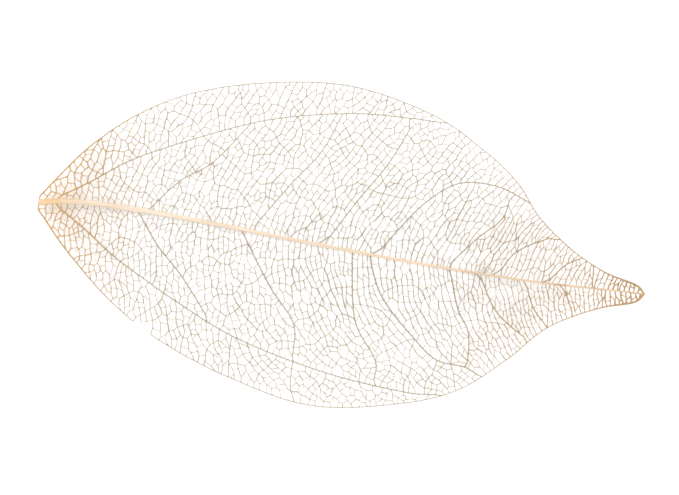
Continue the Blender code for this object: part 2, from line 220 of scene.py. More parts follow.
# The blade's form, as the solid has it, and the height of its net over the solid's underside
FLAT_MIDDLE = (0.36, 0.58)
BASE_LIFT = 1.4
TIP_LIFT = 5.2
LEFT_LIFT = 3.0
RIGHT_LIFT = 2.3
LIFT_WIDTH = 23.0
SUNK_MIDDLE = 0.32
WAVE_HEIGHT = 0.55
WAVE_LENGTH = 37.0
WAVE_START = 1.1
TIP_TWIST = 0.11
NET_HEIGHT = 0.34
PUCKER = 0.05
PUCKER_WAVES = ((1.31, 0.6, 0), (-0.47, 0.83, 1), (1, 1.9, 0))
PUCKER_START = 5.0
MIDRIB_ASIDE = 0.5

# The lower margin is worn away between these places along it
WORN_MARGIN = (16.6, 19.8)

# Each half of the blade is two pieces, which meet about here along it
PARTING = 42.0

# The midrib: half its width and height at the base and the tip, and the ribs along it
MIDRIB_HALF_WIDTH = (0.50, 0.125)
MIDRIB_HALF_HEIGHT = (0.42, 0.13)
MIDRIB_TAPER = 0.52
INNER_MIDRIB = 0.55
MIDRIB_SIDES = 48
MIDRIB_STEP = 0.30
MIDRIB_GROOVES = 8
GROOVE_DEPTH = 0.16
GROOVE_SHARPNESS = 2.5
CREASE_ANGLE = math.radians(24)
# How deep the grooves between strands are, and the crease along the top that takes their place
# Their depth also darkens the midrib: painted shade, and along the crease the rib's own darker
# line
STRAND_DEPTH = (1, 0.3)
CREASE_DEPTH = (0.4, 1)
CREASE_REACH = (0.3, 0.6)
STRAND_SWAYS = ((0.35, 6.1, 0), (0.2, 2.3, 1))
STRAND_SIZE = 0.8
STRAND_WAVE = (0.2, 5, 0.9)
RIB_WAVE = (0.02, 3, 1.7)

# The fibre: its grain's stretch, its colours, and the tints towards the tip and the base. A tint's
# reach is where it starts and is full, in metres from the leaf's middle, and its share at both.
NET_FIBRE = {
    "stretch": 1, "roughness": 0.7,
    "pale": (0.41, 0.325, 0.205, 1), "dark": (0.31, 0.245, 0.150, 1),
    "tip": (0.51, 0.30, 0.13, 1), "tip_reach": (0.016, 0.042, 0, 0.9),
    "base": (0.63, 0.36, 0.13, 1), "base_reach": (-0.028, -0.043, 0, 1),
}
# The midrib's dark tone goes into its grooves: painted shade, and the crease's own darker line
MIDRIB_FIBRE = {
    "stretch": 0.08, "roughness": 0.6,
    "pale": (0.90, 0.78, 0.64, 1), "dark": (0.56, 0.38, 0.22, 1),
    "tip": (0.66, 0.49, 0.33, 1), "tip_reach": (-0.004, 0.034, 0, 0.9),
    "base": (0.74, 0.50, 0.26, 1), "base_reach": (-0.038, -0.043, 0, 1),
}
FIBRE_GLOSS = 0.3
PATCH_NOISE = {"Scale": 90.0, "Detail": 3.0}
PATCH_TINT = (0.3, 0.7, 0.6, 1.0)
FIBRE_NOISE = {"Scale": 1400.0, "Detail": 4.0}
FIBRE_TONE = (0.25, 0.75, 0.84, 1.08)
FIBRE_BUMP = {"Strength": 0.4, "Distance": 0.00003}

# The floor and the lamps, in metres
FLOOR_REACH = 3.0
FLOOR_COLOUR = (0.92, 0.92, 0.92, 1)
FLOOR_FINISH = (0.9, 0.1)
LAMPS = (("key", (-0.25, 0.30, 0.45), 1.4), ("fill", (0.35, -0.20, 0.40), 0.7))
LAMP_SIZE = 0.50

# The camera looks straight down, turned as the photo shows the leaf
VIEW_TURN = math.radians(8.4)
VIEW_WIDTH = 0.101
LENS = 90.0
SENSOR = 36.0
CLIP = (0.01, 10.0)


def dot(a, b):
    return (a.conjugate() * b).real


def cross(a, b):
    return (a.conjugate() * b).imag


def ramp(start, end, value):
    """Goes smoothly from 0 to 1 between the start and the end, and stays so beyond them."""
    t = min(1.0, max(0.0, (value - start) / (end - start)))
    return t * t * (3 - 2 * t)


def blend(ends, t):
    return ends[0] + (ends[1] - ends[0]) * t


def unit(way):
    return way / abs(way)


def pairs_of(items):
    """Each item of a closed ring with the next one."""
    return list(zip(items, items[1:] + items[:1]))


def threes_of(items):
    """Each item of a closed ring between the one before and the next one."""
    return zip(items[-1:] + items[:-1], items, items[1:] + items[:1])


def smooth_curve(corners, step):
    """Points about a step apart, on a smooth curve through the corners."""
    path = [complex(*corner) for corner in corners]
    path = [2 * path[0] - path[1], *path, 2 * path[-1] - path[-2]]
    curve = []
    for before, start, end, after in zip(path, path[1:], path[2:], path[3:]):
        count = max(1, round(abs(end - start) / step))
        for i in range(count):
            t = i / count
            curve.append(0.5 * (2 * start + (end - before) * t
                                + (2 * before - 5 * start + 4 * end - after) * t ** 2
                                + (3 * start - before - 3 * end + after) * t ** 3))
    return curve + [path[-2]]


def area_of(points):
    return sum(cross(a, b) for a, b in pairs_of(points)) / 2


def contains(points, place):
    inside = False
    for a, b in pairs_of(points):
        if (a.imag > place.imag) != (b.imag > place.imag):
            t = (place.imag - a.imag) / (b.imag - a.imag)
            if place.real < a.real + t * (b.real - a.real):
                inside = not inside
    return inside


def centroid(points):
    return sum(cross(a, b) * (a + b) for a, b in pairs_of(points)) / (6 * area_of(points))


def moments(points, middle):
    """A shape's two second moments: their sum, and their difference at twice its angle."""
    sides = pairs_of([p - middle for p in points])
    around = sum(cross(a, b) * (abs(a) ** 2 + dot(a, b) + abs(b) ** 2) for a, b in sides) / 12
    spread = sum(cross(a, b) * (a * a + a * b + b * b) for a, b in sides) / 12
    return around, spread


def span_of(points, middle, way):
    """How wide a shape is along a direction, as if it were a rectangle."""
    around, spread = moments(points, middle)
    return math.sqrt(6 * (around + (spread / way ** 2).real) / area_of(points))


class Net:
    """Nodes, and the rings of nodes round the meshes between the veins, counterclockwise."""

    def __init__(self, outline):
        self.nodes = []
        self.veins_at = []
        self.kind = {}
        self.left_of = {}
        self.rings = [[self.add_node(place) for place in outline]]
        for a, b in pairs_of(self.rings[0]):
            self.add_vein(a, b, MARGIN)
        self.claim_edges(0)

    def add_node(self, place):
        self.nodes.append(place)
        self.veins_at.append(set())
        return len(self.nodes) - 1

    def add_vein(self, a, b, kind):
        self.kind[min(a, b), max(a, b)] = kind
        self.veins_at[a].add(b)
        self.veins_at[b].add(a)

    def kind_of(self, a, b):
        return self.kind[min(a, b), max(a, b)]

    def claim_edges(self, ring):
        for edge in pairs_of(self.rings[ring]):
            self.left_of[edge] = ring

    def places(self, ring):
        return [self.nodes[node] for node in self.rings[ring]]

    def cut_vein(self, a, b, place):
        """Puts a new node on the vein between two nodes."""
        kind = self.kind.pop((min(a, b), max(a, b)))
        self.veins_at[a].remove(b)
        self.veins_at[b].remove(a)
        new = self.add_node(place)
        self.add_vein(a, new, kind)
        self.add_vein(new, b, kind)
        for start, end in ((a, b), (b, a)):
            ring = self.left_of.pop((start, end), None)
            if ring is not None:
                self.rings[ring].insert(self.rings[ring].index(start) + 1, new)
                self.left_of[start, new] = self.left_of[new, end] = ring
        return new

    def sides(self, ring, start, end):
        """The nodes of a mesh on the two ways round it between two of them."""
        nodes = self.rings[ring]
        first = nodes.index(start)
        nodes = nodes[first:] + nodes[:first]
        last = nodes.index(end)
        return nodes[:last + 1], nodes[last:] + [start]

    def divide(self, ring, start, end, path, kind):
        """Draws a vein across a mesh, between two of its nodes and through a path of places."""
        inner = [self.add_node(place) for place in path]
        line = [start, *inner, end]
        for a, b in zip(line, line[1:]):
            self.add_vein(a, b, kind)
        one, other = self.sides(ring, start, end)
        self.rings[ring] = one + inner[::-1]
        self.rings.append(other + inner)
        self.claim_edges(ring)
        self.claim_edges(len(self.rings) - 1)


def nearest_node(net, ring, place):
    """The mesh's node nearest a place, or a new one on its side where none is in reach."""
    node = min(net.rings[ring], key=lambda n: abs(net.nodes[n] - place))
    if abs(net.nodes[node] - place) < JOIN_REACH:
        return node

    def nearest(side):
        start, end = (net.nodes[node] for node in side)
        t = dot(end - start, place - start) / abs(end - start) ** 2
        return blend((start, end), min(1 - CLEAR_ENDS, max(CLEAR_ENDS, t)))

    side = min(pairs_of(net.rings[ring]), key=lambda side: abs(nearest(side) - place))
    return net.cut_vein(*side, nearest(side))


def draw_side_vein(net, line):
    """Draws a side vein across the mesh that its middle lies in."""
    middle = line[len(line) // 2] if len(line) > 2 else (line[0] + line[1]) / 2
    ring = next(r for r in range(len(net.rings)) if contains(net.places(r), middle))
    start, end = (nearest_node(net, ring, place) for place in (line[0], line[-1]))
    net.divide(ring, start, end, line[1:-1], SIDE_VEIN)


def first_hit(net, ring, place, heading):
    """Where a ray from inside a mesh first meets it: a side's ends, and the share along it."""
    hits = []
    for a, b in pairs_of(net.rings[ring]):
        start, side = net.nodes[a] - place, net.nodes[b] - net.nodes[a]
        turn = cross(heading, side)
        if turn:
            way, t = cross(start, side) / turn, cross(start, heading) / turn
            if way > 0 and 0 <= t <= 1:
                hits.append((way, a, b, t))
    return min(hits, key=lambda found: found[0])[1:]


def landing(net, a, b, t, gap, open_ends):
    """The node where a vein meets a side: a bend or an open end close by, or a new node."""
    length = abs(net.nodes[b] - net.nodes[a])
    for node, way in ((a, t * length), (b, (1 - t) * length)):
        if way < gap and len(net.veins_at[node]) == 2 or way < 2 * gap and node in open_ends:
            return node
    if length < 2 * gap:
        return a if t < 0.5 else b
    t = min(1 - gap / length, max(gap / length, t))
    return net.cut_vein(a, b, blend((net.nodes[a], net.nodes[b]), t))


def ends_at(net, ring, way):
    """The nodes of a mesh where a fine vein from outside ends and could go on inside."""
    found = []
    for before, node, after in threes_of(net.rings[ring]):
        others = net.veins_at[node] - {before, after}
        if len(others) == 1 and net.kind_of(before, node) > SIDE_VEIN:
            arm = net.nodes[node] - net.nodes[next(iter(others))]
            if abs(dot(arm, way)) > GOING_ON_WAY * abs(arm):
                found.append(node)
    return found


def halve(net, ring, draw):
    """Draws a cross vein over the middle of a mesh. False where it is small enough."""
    points = net.places(ring)
    area = area_of(points)
    way = sum(points).real / len(points) / LEAF_LENGTH
    if area < blend(MESH_AREA, ramp(*MESH_AREA_REACH, way)) * draw.uniform(*STRAY_AREA):
        return False
    kind = CROSS_VEIN if area > CROSS_VEIN_AREA else NET_VEIN
    size = math.sqrt(area)
    middle = centroid(points)
    _, spread = moments(points, middle)
    lean = math.copysign(MESH_LEAN, middle.imag)
    stretch = blend(MESH_STRETCH, ramp(*STRETCH_REACH, middle.real / LEAF_LENGTH))
    spread -= stretch * size ** 4 * cmath.rect(1, 2 * lean)
    along = cmath.rect(1, cmath.phase(spread) / 2)
    middle += along * size * draw.uniform(-STRAY_ALONG, STRAY_ALONG)
    heading = along * 1j * cmath.rect(1, draw.uniform(-STRAY_ANGLE, STRAY_ANGLE))
    bend = draw.uniform(-BEND, BEND)
    return draw_across(net, ring, middle, heading, bend, size, kind)


def draw_across(net, ring, middle, heading, bend, size, kind, open_ends=(), smallest=0.0):
    """Draws a vein over a mesh, both ways from a place in it, if both parts are large."""
    if not contains(net.places(ring), middle):
        return False
    hits = [first_hit(net, ring, middle, way) for way in (heading, -heading)]
    start, end = (landing(net, *hit, JUNCTION_GAP * size, open_ends) for hit in hits)
    if start == end or end in net.veins_at[start]:
        return False
    span = net.nodes[end] - net.nodes[start]
    path = [net.nodes[start] + span * complex(0.5, bend)]
    for side in net.sides(ring, start, end):
        if area_of([net.nodes[node] for node in side] + path) < smallest:
            return False
    net.divide(ring, start, end, path, kind)
    return True


def split_all(net, split, tries, draw):
    """Splits the meshes, and then their parts, for as long as that works in a few tries."""
    waiting = list(range(len(net.rings)))
    while waiting:
        ring = waiting.pop(0)
        if any(split(net, ring, draw) for _ in range(tries)):
            waiting += [ring, len(net.rings) - 1]


def weave(net, ring, draw):
    """Draws one fine thread over a mesh. False where it is small, or has no room for it."""
    points = net.places(ring)
    middle = centroid(points)
    grain, gap, rung_gap, strength = grain_at(middle)
    threads = span_of(points, middle, 1j * grain) / gap
    rungs = span_of(points, middle, grain) / rung_gap
    if max(threads, rungs) < LARGEST_MESH * draw.uniform(1 - STRAY_SIZE, 1 + STRAY_SIZE):
        return False
    if area_of(points) < PARTED_MESH * gap * rung_gap:
        return False
    with_grain = threads * blend(FIRST_THREADS, strength) > rungs
    count, span, way = (threads, gap, grain) if with_grain else (rungs, rung_gap, 1j * grain)
    parts = max(2, round(count))
    share = (parts // 2 + (parts % 2 and draw.random() < 0.5)) / parts
    stray = blend(STRAY_THREAD, strength)
    aside = span * ((share - 0.5) * count + draw.uniform(-stray, stray))
    open_ends = ends_at(net, ring, way) if with_grain else []
    steps = [dot(1j * way, net.nodes[node] - middle) for node in open_ends]
    nearest = min(steps, key=lambda step: abs(step - aside), default=aside)
    if abs(nearest - aside) < GOING_ON * gap:
        aside = nearest
    turn = blend(STRAY_GRAIN, strength)
    heading = way * cmath.rect(1, draw.uniform(-turn, turn))
    kind = THREAD if with_grain else FINE_THREAD
    return draw_across(net, ring, middle + 1j * way * aside, heading, draw.uniform(-BEND, BEND),
                       gap, kind, open_ends, SMALLEST_MESH * gap * rung_gap)


def settle(net):
    """Lets thin veins pull their junctions towards even angles. Main veins stay."""
    for _ in range(SETTLING_ROUNDS):
        moved = list(net.nodes)
        for node, others in enumerate(net.veins_at):
            kinds = [net.kind_of(node, other) for other in others]
            if min(kinds) <= SIDE_VEIN:
                continue
            pulls = [VEIN_PULL[kind] for kind in kinds]
            pulled = sum(pull * net.nodes[other] for pull, other in zip(pulls, others))
            moved[node] = blend((net.nodes[node], pulled / sum(pulls)), SETTLING)
        net.nodes = moved


def rails(net):
    """For each node, its neighbours on a main vein that it can slide along, or itself twice, and
    whether it can move at all. Then each bend of a thin vein with its ends."""
    before, after, loose, bends = [], [], [], []
    for node, others in enumerate(net.veins_at):
        main = [other for other in others if net.kind_of(node, other) <= SIDE_VEIN]
        arms = [net.nodes[other] - net.nodes[node] for other in main]
        slides = len(main) == 2 and dot(*arms) < -RAIL_TURN * abs(arms[0]) * abs(arms[1])
        before.append(main[0] if slides else node)
        after.append(main[1] if slides else node)
        loose.append(slides or not main)
        if not main and len(others) == 2:
            bends.append((node, *others))
    return np.array(before), np.array(after), np.array(loose), np.array(bends)


def even_out(net):
    """Lets meshes press on their veins until they are about as wide and long as the grain
    asks, while the veins pull on their ends."""
    sides = [(a, b, ring) for ring, nodes in enumerate(net.rings) for a, b in pairs_of(nodes)]
    start, end, ring = np.array(sides).T
    pull = np.array([FINE_PULL[net.kind_of(a, b)] for a, b, _ in sides])
    middles = [centroid(net.places(ring)) for ring in range(len(net.rings))]
    grain, gap, rung_gap, _ = (np.array(part) for part in zip(*map(grain_at, middles)))
    before, after, loose, bends = rails(net)
    corner, near_start, near_end = np.array([
        (node, a, b) for nodes in net.rings for node in nodes
        for a, b in pairs_of(nodes) if node not in (a, b)]).T
    places = np.array(net.nodes)
    count = len(net.rings)

    def total(values, owners, count=len(net.nodes)):
        """Sums complex values by their owners."""
        return (np.bincount(owners, values.real, count)
                + 1j * np.bincount(owners, values.imag, count))

    for _ in range(EVENING_ROUNDS):
        a, b = places[start], places[end]
        area = np.bincount(ring, cross(a, b), count) / 2
        middle = total(cross(a, b) * (a + b), ring, count) / (6 * area)
        p, q = a - middle[ring], b - middle[ring]
        turn = cross(p, q) / 12
        around = np.bincount(ring, turn * (abs(p) ** 2 + dot(p, q) + abs(q) ** 2), count)
        spread = total(turn * (p ** 2 + p * q + q ** 2), ring, count)
        wide, long = (np.sqrt(6 * np.maximum(TINY, around + (spread / way ** 2).real) / area)
                      for way in (1j * grain, grain))
        press_wide = PRESSURE[0] * np.clip(gap / wide - 1, -1, MOST_PRESSURE)
        press_long = PRESSURE[1] * np.clip(rung_gap / long - 1, -1, MOST_PRESSURE)
        out = -1j * (b - a) / grain[ring]
        push = (press_long[ring] * out.real + 1j * press_wide[ring] * out.imag) * grain[ring]
        force = total(push / 2 + pull * (b - a), start) + total(push / 2 - pull * (b - a), end)
        along = places[near_end] - places[near_start]
        away = places[corner] - places[near_start]
        t = np.clip(dot(along, away) / abs(along) ** 2, 0, 1)
        away -= t * along
        distance = np.maximum(abs(away), TINY)
        crossed = (cross(along, away) < 0) & (distance < CROSSED_REACH)
        away = np.where(crossed, -away, away) / distance
        distance = np.where(crossed, -distance, distance)
        shove = SHOVE * away * np.maximum(0, 1 - distance / CLEARANCE)
        force += (total(shove, corner) - total(shove * (1 - t), near_start)
                  - total(shove * t, near_end))
        rail = places[after] - places[before]
        length = abs(rail)
        rail = np.divide(rail, length, out=np.ones_like(rail), where=length > 0)
        slide = dot(rail, force)
        step = np.where(length > 0, slide * rail, force) * loose * EVENING_STEP
        room = abs(places[np.where(slide > 0, after, before)] - places) - CLOSEST_ENDS
        room = np.where(length > 0, np.clip(SLIDING * room, 0, LARGEST_STEP), LARGEST_STEP)
        places += step * np.minimum(1, room / np.maximum(abs(step), TINY))
        bend, one, other = places[bends.T]
        middle = (one + other) / 2
        most = MOST_BEND * abs(other - one) / np.maximum(abs(bend - middle), TINY)
        places[bends[:, 0]] = middle + (bend - middle) * np.minimum(1, most)
    net.nodes = [complex(place) for place in places]


def grain_at(place):
    """The fine net's grain at a place: its direction, gaps, and how strong it is, up to 1."""
    away, way = abs(place.imag), place.real / LEAF_LENGTH
    tipward = ramp(*GRAIN_REACH, way)
    start, fall = UPPER_GRAIN if place.imag > 0 else LOWER_GRAIN
    lean = max(STRAIGHTEST_GRAIN, start - fall * away * blend((BASE_LEANING, 1), tipward))
    lean = blend((lean, TIP_GRAIN), ramp(*TIP_GRAIN_REACH, way))
    strength = blend(GRAIN_STRENGTH, tipward) * (1 - ramp(*GRAIN_SHARES, away / GRAIN_WIDTH))
    strength *= blend(END_STRENGTH, ramp(*END_STRENGTH_REACH, way))
    strength = max(strength, BASE_STRENGTH * (1 - tipward))
    gap = blend(THREAD_GAP, ramp(*THREAD_GAP_REACH, way))
    gap *= blend(OUTER_GAP, ramp(*OUTER_SHARES, away / GRAIN_WIDTH))
    grain = cmath.rect(1, math.copysign(lean, place.imag))
    return grain, gap, gap * blend(RUNG_GAP, strength), strength


def grow_net():
    """The solid's net, grown on to the finest meshes and evened out."""
    lower = smooth_curve(LOWER_MARGIN, MARGIN_STEP)
    upper = smooth_curve(UPPER_MARGIN, MARGIN_STEP)
    midrib = smooth_curve(MIDRIB_LINE, VEIN_STEP)
    outline = lower + upper[-2::-1] + midrib[:1]
    net = Net(outline)
    base, tip = len(outline) - 1, len(lower) - 1
    net.divide(0, base, tip, midrib[1:-1], MIDRIB)
    for vein in SIDE_VEINS:
        draw_side_vein(net, smooth_curve(vein, VEIN_STEP))
    draw = random.Random(SEED)
    split_all(net, halve, 1, draw)
    settle(net)
    split_all(net, weave, THREAD_TRIES, draw)
    even_out(net)
    return net


def fine_curves():
    """The smooth lines that the margin, the midrib and the side veins follow."""
    upper = smooth_curve(UPPER_MARGIN, CURVE_STEP)
    lower = smooth_curve(LOWER_MARGIN, CURVE_STEP)
    cut = [blend((upper[0], lower[0]), t) for t in np.linspace(0, 1, CUT_POINTS)]
    outline = np.array(lower[:-1] + upper[::-1] + cut[1:-1])
    ahead = np.roll(outline, -CORNER_SPAN) - np.roll(outline, CORNER_SPAN)
    sides = [point for vein in SIDE_VEINS for point in smooth_curve(vein, CURVE_STEP)]
    return {
        MARGIN: outline + 1j * unit(ahead) * (HALF_WIDTH[MARGIN][0] + MARGIN_GAP),
        MIDRIB: np.array(smooth_curve(MIDRIB_LINE, CURVE_STEP)),
        SIDE_VEIN: np.array(sides),
    }


def midrib_size(ends, x):
    """Half the midrib's width or height a way along it, from that at its ends."""
    return blend(ends, np.clip(x / LEAF_LENGTH, 0, 1) ** MIDRIB_TAPER)


def unevenness(place):
    """How thick fine threads are at a place: they vary in patches, and from one to the next."""
    x, y = place.real, place.imag
    thick = 1
    for most, *waves in PATCHY, UNEVEN:
        thick += most * math.prod(math.sin(along * x + across * y + math.sin(sway * x + swing * y))
                                  for along, across, sway, swing in waves)
    return thick


def girth(kind, place, heading):
    """Half the width of a vein at a place. Main veins thin out towards the margin, and fine ones
    are thinner across the grain."""
    if kind == MIDRIB:
        return INNER_MIDRIB * midrib_size(MIDRIB_HALF_WIDTH, place.real)
    way = place.real / LEAF_LENGTH
    thicker = sum((most * ramp(start, end, way) for most, start, end in THICKENINGS), 1)
    if kind == SIDE_VEIN:
        thicker *= blend(FAINT_SIDE_VEINS, ramp(*FAINT_REACH, way))
        thicker *= UPPER_SIDE_VEINS if place.imag > 0 else 1
    if kind > SIDE_VEIN:
        grain, _, _, strength = grain_at(place)
        with_grain = (dot(grain, heading) / abs(heading)) ** 2
        thicker *= 1 + GRAIN_THICKENING * strength * (2 * with_grain - 1)
        thicker *= unevenness(place)
    return thicker * blend(HALF_WIDTH[kind], min(1.0, abs(place.imag) / TAPER_WIDTH))


def blade_height(x, y):
    """The height of the solid's underside above the surface that it lies on."""
    way = x / LEAF_LENGTH
    side = y / LIFT_WIDTH
    base = np.maximum(0.0, 1 - way / FLAT_MIDDLE[0])
    tip = np.maximum(0.0, (way - FLAT_MIDDLE[1]) / (1 - FLAT_MIDDLE[1]))
    lift = np.where(side > 0, LEFT_LIFT, RIGHT_LIFT)
    wave = WAVE_HEIGHT * np.sin(math.tau * x / WAVE_LENGTH + np.copysign(WAVE_START, side))
    height = (BASE_LIFT * base ** 2 + TIP_LIFT * tip ** 2 + (lift + wave) * side ** 2
              + TIP_TWIST * y * tip - SUNK_MIDDLE)
    return np.maximum(0.0, height)


def net_height(x, y):
    """The height of the net's threads: a little above the underside, and slightly puckered."""
    pucker = sum(np.sin(along * x + across * y + start) for along, across, start in PUCKER_WAVES)
    from_midrib = np.minimum(1.0, abs(y - MIDRIB_ASIDE) / PUCKER_START)
    height = blend((midrib_size(MIDRIB_HALF_HEIGHT, x), NET_HEIGHT), from_midrib)
    return blade_height(x, y) + height + PUCKER * from_midrib * pucker


class Threads:
    """The net's veins as rows of points that the meshes on both their sides share."""

    def __init__(self, net):
        self.net = net
        self.curves = fine_curves()
        self.places = []
        self.girths = []
        self.along = {}
        self.edge_girth = {}
        for node, others in enumerate(net.veins_at):
            place = net.nodes[node]
            kinds = {other: net.kind_of(node, other) for other in others}
            thickest = max(girth(kind, place, net.nodes[other] - place)
                           for other, kind in kinds.items())
            self.add_point(self.settled(place, min(kinds.values())), thickest)
        self.ways = {}
        for node in range(len(net.nodes)):
            self.point_ways(node)
        for (a, b), kind in net.kind.items():
            heading = self.places[b] - self.places[a]
            places = [self.place_between(a, b, t) for t in self.steps(a, b)]
            inner = [self.add_point(place, girth(kind, place, heading)) for place in places]
            self.along[a, b] = [a, *inner]
            self.along[b, a] = [b, *inner[::-1]]
            middle = (self.places[a] + self.places[b]) / 2
            self.edge_girth[a, b] = self.edge_girth[b, a] = girth(kind, middle, heading)
        self.places, self.girths = np.array(self.places), np.array(self.girths)

    def settled(self, place, kind):
        """A node of a main vein, moved from the net's straight stretches to the vein's curve."""
        if kind not in self.curves:
            return place
        near = complex(self.curves[kind][np.argmin(abs(self.curves[kind] - place))])
        if kind == SIDE_VEIN:
            return blend((near, place), ramp(*SNAP_REACH, abs(near - place)))
        return near

    def add_point(self, place, thick):
        self.places.append(place)
        self.girths.append(thick)
        return len(self.places) - 1

    def point_ways(self, node):
        """Sets the directions in which veins leave a node: where two go on, they line up."""
        arms = {other: unit(self.places[other] - self.places[node])
                for other in sorted(self.net.veins_at[node])}
        pairs = [(a, b) for a in arms for b in arms if a < b]
        pairs.sort(key=lambda pair: (max(self.net.kind_of(node, end) for end in pair),
                                     dot(arms[pair[0]], arms[pair[1]])))
        free = set(arms)
        for a, b in pairs:
            if {a, b} <= free and dot(arms[a], arms[b]) < -STRAIGHT_ON:
                arms[a] = unit(arms[a] - arms[b])
                arms[b] = -arms[a]
                free -= {a, b}
        for other, arm in arms.items():
            self.ways[node, other] = arm

    def place_between(self, a, b, t):
        """The place a part of the way along the smooth curve from one node to the next."""
        start, end = self.places[a], self.places[b]
        length = abs(end - start)
        leaving, arriving = length * self.ways[a, b], -length * self.ways[b, a]
        return (start * (1 + 2 * t) * (1 - t) ** 2 + leaving * t * (1 - t) ** 2
                + end * t * t * (3 - 2 * t) + arriving * t * t * (t - 1))

    def steps(self, a, b):
        """How far along a vein its points are: close to its junctions, and evenly between."""
        length = abs(self.places[b] - self.places[a])
        first = (self.girths[a] + JUNCTION_CLEARANCE) / length
        last = 1 - (self.girths[b] + JUNCTION_CLEARANCE) / length
        if last - first < SHORTEST_ROW / length:
            return [0.5] if length > SHORTEST_VEIN else []
        count = max(1, round((last - first) * length / RING_STEP))
        return [blend((first, last), i / count) for i in range(count + 1)]

    def ring(self, nodes):
        """A mesh's points in order, the girth of the thread after each, and its corners."""
        points, girths, corners = [], [], []
        for before, a, b in threes_of(nodes):
            turn = cmath.phase(-self.ways[a, b] / self.ways[a, before])
            if abs(turn) > CORNER_TURN:
                corners.append(len(points))
            points += self.along[a, b]
            girths += [self.edge_girth[a, b]] * len(self.along[a, b])
        corners = corners or [0]
        first = corners[0]
        points, girths = (row[first:] + row[:first] for row in (points, girths))
        return points, np.array(girths), [corner - first for corner in corners]


def heart_of(line):
    """A point inside a mesh that sees all of its centre line."""
    ends = np.roll(line, -1)
    ahead = unit(ends - line)
    areas = cross(line, ends)
    heart = (areas * (line + ends)).sum() / (3 * areas.sum())
    for _ in range(HEART_ROUNDS):
        depth = cross(ahead, heart - line)
        worst = depth.argmin()
        if depth[worst] > HEART_DEPTH[0]:
            break
        heart += 1j * ahead[worst] * (HEART_DEPTH[1] - depth[worst])
    return heart


def web_edge(line, girths, corners, heart):
    """Where the threads round a mesh end, on the way from each of its points to its heart."""
    side = np.roll(line, -1) - line
    points = line[:, None] + (heart - line)[:, None] * WEB_WAYS
    arms = points[:, :, None] - line
    t = np.clip(dot(side, arms) / abs(side) ** 2, 0, 1)
    reach = abs(arms - t * side) / girths
    reach = np.minimum.reduceat(reach, corners, axis=2)
    depth = np.log(np.exp(-WEB_SHARPNESS * (reach - 1)).sum(axis=2))
    open_ways = depth < 0
    open_ways[:, -1] = True
    after = np.maximum(1, open_ways.argmax(axis=1))
    rows = np.arange(len(line))
    high, low = depth[rows, after - 1], np.minimum(depth[rows, after], -TINY)
    way = WEB_WAYS[after - 1] + (WEB_WAYS[after] - WEB_WAYS[after - 1]) * high / (high - low)
    return line + (heart - line) * np.clip(way, NEAREST_WEB, WEB_WAYS[-1])


def strip(first, second):
    """Faces between two closed rows of corners, with the first on the right of the way along."""
    return np.stack([first, np.roll(first, -1), np.roll(second, -1), second], axis=1).tolist()


